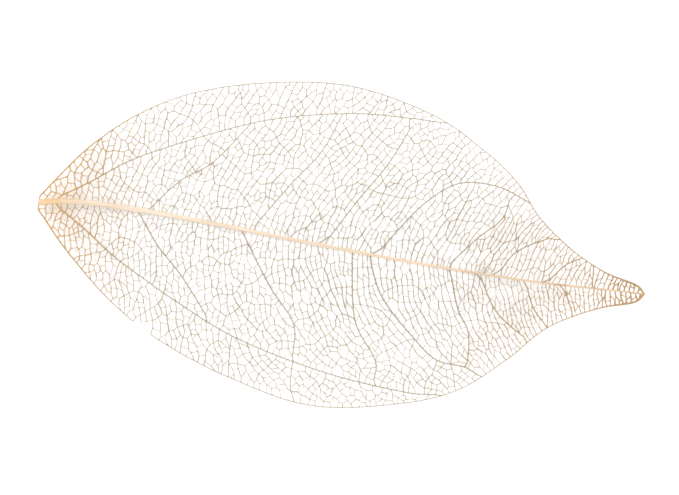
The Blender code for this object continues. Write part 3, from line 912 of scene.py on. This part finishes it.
class Quarter:
    """A quarter of the blade, as one closed piece: the threads round its meshes."""

    def __init__(self, threads):
        self.threads = threads
        self.places, self.heights, self.girths, self.faces = [], [], [], []
        self.crests = {}
        self.beside = set()
        self.walls = []

    def add(self, places, lifts, girths):
        """Adds corners at places, lifted off the leaf's surface. Returns their numbers."""
        first = len(self.places)
        places = np.asarray(places)
        self.places += list(places)
        self.heights += list(net_height(places.real, places.imag) + lifts)
        self.girths += list(girths)
        return np.arange(first, first + len(places))

    def crest(self, point):
        if point not in self.crests:
            place, thick = self.threads.places[point], self.threads.girths[point]
            self.crests[point] = self.add([place] * 2, np.array([thick, -thick]), [thick] * 2)
        return self.crests[point]

    def row(self, points):
        """A row of the threads' points: their places, girths, and crests above and below."""
        crests = np.array([self.crest(point) for point in points]).T
        return self.threads.places[points], self.threads.girths[points], *crests

    def add_mesh(self, nodes, draw):
        """The threads' inner sides round one mesh of the net, above and below."""
        points, girths, corners = self.threads.ring(nodes)
        line, thick, tops, bottoms = self.row(points)
        heart = heart_of(line)
        edge = web_edge(line, girths, corners, heart)
        over = self.add(line + (edge - line) * SHOULDER, thick * SHOULDER_HEIGHT, thick)
        self.faces += strip(tops, over)
        if area_of(edge.tolist()) < SMALLEST_HOLE:
            self.fill(over, bottoms, line.mean(), thick.mean())
        else:
            rim = self.add(edge, 0.0, thick)
            self.faces += strip(over, rim) + strip(rim, bottoms)
            self.add_veinlets(line, edge.tolist(), thick, heart, draw)
        self.beside.update(pairs_of(points))

    def add_veinlets(self, line, edge, thick, heart, draw):
        """Veinlets that grow from the threads into a mesh: the larger it is, the more."""
        count = int(area_of(edge) / VEINLET_AREA * draw.uniform(*VEINLET_NUMBER))
        first = draw.random()
        for i in range(count):
            way = first + (i + draw.uniform(-VEINLET_STRAY, VEINLET_STRAY)) / count
            point = int(way * len(line)) % len(line)
            start = complex(line[point])
            reach = draw.uniform(*VEINLET_REACH)
            turn = draw.uniform(-VEINLET_TURN, VEINLET_TURN)
            end = start + complex(heart - start) * cmath.rect(reach, turn)
            bend = draw.uniform(-VEINLET_BEND, VEINLET_BEND)
            turn = draw.choice((-1, 1)) * FORK_TURN
            forks = draw.random() < FORKED_SHARE
            thin = min(THICKEST_VEINLET, VEINLET_GIRTH * thick[point])
            if contains(edge, end):
                self.add_veinlet(start, end, bend, thin)
                fork = start + (end - start) * complex(0.5, bend)
                end = fork + (end - fork) * cmath.rect(FORK_LENGTH, turn)
                if forks and contains(edge, end):
                    self.add_veinlet(fork, end, 0, FORK_GIRTH * thin)

    def add_veinlet(self, start, end, bend, thick):
        """A tapered vein with a free end, as a closed tube of four sides."""
        ways, span = VEINLET_STEPS, end - start
        places = start + span * (ways + 4j * bend * ways * (1 - ways))
        thin = thick * (1 - VEINLET_TAPER * ways)
        side = 1j * unit(span) * thin
        rows = [self.add(places + side, 0.0, thin), self.add(places, thin, thin),
                self.add(places - side, 0.0, thin), self.add(places, -thin, thin)]
        tip = self.add([end], 0.0, thin[-1:])[0]
        for one, other in pairs_of(rows):
            for i in range(len(ways) - 1):
                self.faces.append([one[i], other[i], other[i + 1], one[i + 1]])
            self.faces.append([one[-1], other[-1], tip])
        self.faces.append([rows[i][0] for i in (0, 3, 2, 1)])

    def fill(self, over, bottoms, middle, thick):
        """Closes a mesh that is too small to be open, above and below."""
        top, bottom = self.add([middle] * 2, np.array([1, -1]) * FILLED_HEIGHT * thick,
                               [thick] * 2)
        self.faces += [[a, b, top] for a, b in pairs_of(over.tolist())]
        self.faces += [[b, a, bottom] for a, b in pairs_of(bottoms.tolist())]

    def close(self, quarters):
        """Adds the outermost threads' outer side, and walls where other quarters go on."""
        after = {a: b for a, b in self.beside if (b, a) not in self.beside}
        joined = {a for a, b in after.items() if any((b, a) in other.beside for other in quarters)}
        margin = {a: b for a, b in after.items() if a not in joined}
        for a in joined:
            top_a, low_a = self.crest(a)
            top_b, low_b = self.crest(after[a])
            self.walls.append(len(self.faces))
            self.faces.append([top_b, top_a, low_a, low_b])
        chain = [next(iter(set(margin) - set(margin.values())))]
        while chain[-1] in margin:
            chain.append(margin[chain[-1]])
        line, thick, tops, bottoms = self.row(chain)
        outward = -1j * unit(np.gradient(line)) * thick
        over = self.add(line + SHOULDER * outward, thick * SHOULDER_HEIGHT, thick)
        rim = self.add(line + outward, 0.0, thick)
        for outer, inner in ((over, tops), (rim, over), (bottoms, rim)):
            self.faces += strip(outer, inner)[:-1]
        self.faces.append([tops[0], bottoms[0], rim[0], over[0]])
        self.faces.append([tops[-1], over[-1], rim[-1], bottoms[-1]])

    def make_object(self, name, to_frame):
        corners = list(map(to_frame, self.places, self.heights))
        tones = np.interp(self.girths, (PALE_GIRTH, DARK_GIRTH), (0, 1))
        piece = mesh_object(name, corners, self.faces, tones)
        for wall in self.walls:
            piece.data.polygons[wall].use_smooth = False
        return piece


def add_object(name, data):
    thing = bpy.data.objects.new(name, data)
    bpy.context.scene.collection.objects.link(thing)
    return thing


def mesh_object(name, corners, faces, tones=()):
    """A smooth piece, which keeps how dark the fibre is at each corner, from 0 to 1."""
    mesh = bpy.data.meshes.new(name)
    mesh.from_pydata(corners, [], faces)
    mesh.shade_smooth()
    if len(tones):
        mesh.attributes.new("tone", "FLOAT", "POINT").data.foreach_set("value", tones)
    return add_object(name, mesh)


def leaf_place():
    """Turns a place on the leaf and a height, in millimetres, into a corner in the frame."""
    low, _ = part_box("leaf")
    outline = smooth_curve(LOWER_MARGIN, MARGIN_STEP) + smooth_curve(UPPER_MARGIN, MARGIN_STEP)
    start = complex(min(p.real for p in outline), min(p.imag for p in outline))

    def corner(place, height):
        place -= start
        along = min(LEAF_LENGTH, max(0.0, place.real))
        return low.x + along * MM, low.y + place.imag * MM, low.z + max(0.0, height) * MM

    return corner


def make_blade(to_frame):
    """The blade's net, as four closed pieces, without the meshes at its worn margin."""
    net = grow_net()
    threads = Threads(net)
    draw = random.Random(VEINLET_SEED)
    quarters = {}
    midrib = np.array(smooth_curve(MIDRIB_LINE, VEIN_STEP))
    for ring, nodes in enumerate(net.rings):
        middle = centroid(net.places(ring))
        left = middle.imag > np.interp(middle.real, midrib.real, midrib.imag)
        worn = (WORN_MARGIN[0] < middle.real < WORN_MARGIN[1]
                and any(net.kind_of(*side) == MARGIN for side in pairs_of(nodes)))
        if left or not worn:
            name = ("left_" if left else "right_") + ("base" if middle.real < PARTING else "tip")
            quarters.setdefault(name, Quarter(threads)).add_mesh(nodes, draw)
    pieces = []
    for name, quarter in quarters.items():
        quarter.close(quarters.values())
        pieces.append(quarter.make_object(name, to_frame))
    return pieces


def round_wave(wave, angles, x):
    """A wave round the midrib that turns on the way along it."""
    most, waves, turning = wave
    return most * np.sin(waves * angles + x * turning)


def make_midrib(to_frame):
    """A tapered rib, grooved between the strands that it is made of."""
    line = np.array(smooth_curve(MIDRIB_LINE, MIDRIB_STEP))
    across = 1j * unit(np.gradient(line))
    angles = np.linspace(0, math.tau, MIDRIB_SIDES, endpoint=False)
    corners, tones = [], []
    for place, side in zip(line, across):
        x = place.real
        wide, high = midrib_size(MIDRIB_HALF_WIDTH, x), midrib_size(MIDRIB_HALF_HEIGHT, x)
        tipward = ramp(*CREASE_REACH, x / LEAF_LENGTH)
        sway = sum(most * math.sin(x / length + start) for most, length, start in STRAND_SWAYS)
        strands = 0.5 + 0.5 * np.cos(MIDRIB_GROOVES * (angles - math.pi / 2) + sway)
        strands = strands ** GROOVE_SHARPNESS * (STRAND_SIZE + round_wave(STRAND_WAVE, angles, x))
        crease = np.exp(-((angles - math.pi / 2) / CREASE_ANGLE) ** 2)
        groove = np.maximum(strands * blend(STRAND_DEPTH, tipward),
                            crease * blend(CREASE_DEPTH, tipward))
        around = 1 - GROOVE_DEPTH * groove + round_wave(RIB_WAVE, angles, x)
        centre = float(blade_height(x, place.imag)) + high
        for angle, out in zip(angles, around):
            corners.append(to_frame(place + side * wide * out * math.cos(angle),
                                    centre + high * out * math.sin(angle)))
        # Painted darker where grooves are deeper: painted shade, and the crease's own darker line
        tones += groove.tolist()
    rings = np.arange(len(corners)).reshape(-1, MIDRIB_SIDES)
    faces = [rings[0, ::-1].tolist(), rings[-1].tolist()]
    for ring, following in zip(rings, rings[1:]):
        faces += strip(ring, following)
    return mesh_object("midrib", corners, faces, tones)


def feed(node, inputs):
    """Gives a shader node its inputs, as values or as outputs of other nodes."""
    for name, value in inputs.items():
        if isinstance(value, bpy.types.NodeSocket):
            node.id_data.links.new(value, node.inputs[name])
        else:
            node.inputs[name].default_value = value


def make_material(name, roughness, gloss):
    material = bpy.data.materials.new(name)
    material.use_nodes = True
    shader = material.node_tree.nodes["Principled BSDF"]
    feed(shader, {"Roughness": roughness, "Specular IOR Level": gloss})
    return material, shader


def make_fibre(name, stretch, roughness, pale, dark, tip, tip_reach, base, base_reach):
    """Dried plant fibre between a pale and a dark tone, warmer towards the tip and the base."""
    material, shader = make_material(name, roughness, FIBRE_GLOSS)

    def output(kind, name, inputs=None, **settings):
        node = material.node_tree.nodes.new("ShaderNode" + kind)
        for setting, value in settings.items():
            setattr(node, setting, value)
        feed(node, inputs or {})
        return node.outputs[name]

    def ranged(value, start, end, low, high):
        """From low to high, as a value goes from start to end."""
        return output("MapRange", "Result", {"Value": value, "From Min": start, "From Max": end,
                                             "To Min": low, "To Max": high})

    def mixed(share, first, second, blend_type="MIX"):
        return output("Mix", 2, {0: share, 6: first, 7: second}, data_type="RGBA",
                      blend_type=blend_type)

    def tinted(colour, tint, reach):
        """A colour that goes over into a tint between two places along the leaf, in patches."""
        factors = {0: ranged(along, *reach), 1: patchy}
        return mixed(output("Math", "Value", factors, operation="MULTIPLY"), colour, tint)

    place = output("TexCoord", "Object")
    along = output("SeparateXYZ", "X", {"Vector": place})
    drawn_out = output("Mapping", "Vector", {"Vector": place, "Scale": (stretch, 1, 1)})
    patches = output("TexNoise", "Fac", {"Vector": place, **PATCH_NOISE})
    fibres = output("TexNoise", "Fac", {"Vector": drawn_out, **FIBRE_NOISE})
    patchy = ranged(patches, *PATCH_TINT)
    colour = mixed(output("Attribute", "Fac", attribute_name="tone"), pale, dark)
    colour = tinted(tinted(colour, tip, tip_reach), base, base_reach)
    colour = mixed(1.0, colour, ranged(fibres, *FIBRE_TONE), "MULTIPLY")
    bump = output("Bump", "Normal", {"Height": fibres, **FIBRE_BUMP})
    feed(shader, {"Base Color": colour, "Normal": bump})
    return material


def make_floor():
    """A plain pale floor under the leaf."""
    reach = FLOOR_REACH
    corners = [(-reach, -reach, 0), (reach, -reach, 0), (reach, reach, 0), (-reach, reach, 0)]
    floor = mesh_object("floor", corners, [(0, 1, 2, 3)])
    material, shader = make_material("floor", *FLOOR_FINISH)
    feed(shader, {"Base Color": FLOOR_COLOUR})
    floor.data.materials.append(material)


def make_light():
    """A soft white surrounding, and two large lamps."""
    world = bpy.data.worlds.new("studio")
    bpy.context.scene.world = world
    world.use_nodes = True
    feed(world.node_tree.nodes["Background"], {"Color": (1, 1, 1, 1), "Strength": 1.0})
    for name, place, power in LAMPS:
        lamp = bpy.data.lights.new(name, "AREA")
        lamp.size = LAMP_SIZE
        lamp.energy = power
        holder = add_object(name, lamp)
        holder.location = place
        holder.rotation_euler = Vector(place).to_track_quat("Z", "Y").to_euler()
    bpy.context.scene.view_settings.view_transform = "Standard"


def make_camera():
    data = bpy.data.cameras.new("camera")
    data.lens = LENS
    data.sensor_width = SENSOR
    data.clip_start, data.clip_end = CLIP
    camera = add_object("camera", data)
    camera.location = (0, 0, VIEW_WIDTH * LENS / SENSOR)
    camera.rotation_euler = (0, 0, VIEW_TURN)
    bpy.context.scene.camera = camera


def main():
    to_frame = leaf_place()
    net_finish = make_fibre("vein_net", **NET_FIBRE)
    midrib_finish = make_fibre("midrib_fibre", **MIDRIB_FIBRE)
    pieces = [(piece, net_finish) for piece in make_blade(to_frame)]
    pieces.append((make_midrib(to_frame), midrib_finish))
    for piece, finish in pieces:
        piece.data.materials.append(finish)
        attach(piece, "root")
        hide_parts("leaf")
    make_floor()
    make_light()
    make_camera()


main()
